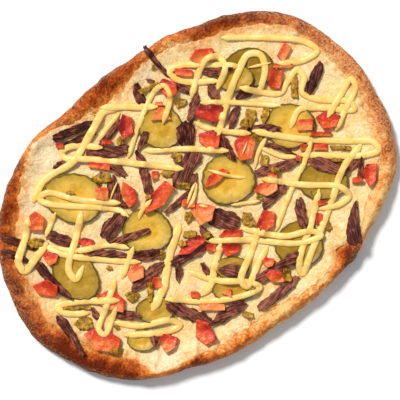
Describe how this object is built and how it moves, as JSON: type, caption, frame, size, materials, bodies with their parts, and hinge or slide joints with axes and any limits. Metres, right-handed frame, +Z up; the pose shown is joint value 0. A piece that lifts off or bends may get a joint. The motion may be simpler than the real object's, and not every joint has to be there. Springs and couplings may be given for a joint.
{
  "type": "roman pizza",
  "caption": "Oval roman pizza with a puffed browned rim, melted cheese, gherkin slices, beef strips, tomato pieces and a mustard drizzle.",
  "frame": {"origin": "under the middle of the oval, on the surface it lies on", "axes": "+X along the oval towards the picture's upper right, +Y across it towards the upper left, +Z up"},
  "size_m": [0.2898, 0.2081, 0.0242],
  "materials": {
    "crust": "dry baked crust, dusty, browned in blotches",
    "cheese": "melted cheese and cream, soft sheen",
    "gherkin": "wet pickled slice, translucent, dark skin",
    "beef": "roast beef strip with fine fibres, slightly moist",
    "tomato": "wet cut tomato with glossy skin",
    "herb": "chopped pickle bits, wet olive green",
    "mustard": "smooth mustard strokes, soft gloss"
  },
  "bodies": {
    "root": {"crust": "crust", "cheese": "cheese", "gherkin_01": "gherkin", "gherkin_02": "gherkin", "gherkin_03": "gherkin", "gherkin_04": "gherkin", "gherkin_05": "gherkin", "gherkin_06": "gherkin", "gherkin_07": "gherkin", "gherkin_08": "gherkin", "gherkin_09": "gherkin", "gherkin_10": "gherkin", "gherkin_11": "gherkin", "gherkin_12": "gherkin", "gherkin_13": "gherkin", "gherkin_14": "gherkin", "beef_01": "beef", "beef_02": "beef", "beef_03": "beef", "beef_04": "beef", "beef_05": "beef", "beef_06": "beef", "beef_07": "beef", "beef_08": "beef", "beef_09": "beef", "beef_10": "beef", "beef_11": "beef", "beef_12": "beef", "beef_13": "beef", "beef_14": "beef", "beef_15": "beef", "beef_16": "beef", "beef_17": "beef", "beef_18": "beef", "beef_19": "beef", "beef_20": "beef", "beef_21": "beef", "beef_22": "beef", "beef_23": "beef", "beef_24": "beef", "tomato_01": "tomato", "tomato_02": "tomato", "tomato_03": "tomato", "tomato_04": "tomato", "tomato_05": "tomato", "tomato_06": "tomato", "tomato_07": "tomato", "tomato_08": "tomato", "tomato_09": "tomato", "tomato_10": "tomato", "tomato_11": "tomato", "tomato_12": "tomato", "tomato_13": "tomato", "tomato_14": "tomato", "tomato_15": "tomato", "tomato_16": "tomato", "tomato_17": "tomato", "tomato_18": "tomato", "tomato_19": "tomato", "tomato_20": "tomato"}
  },
  "joints": []
}
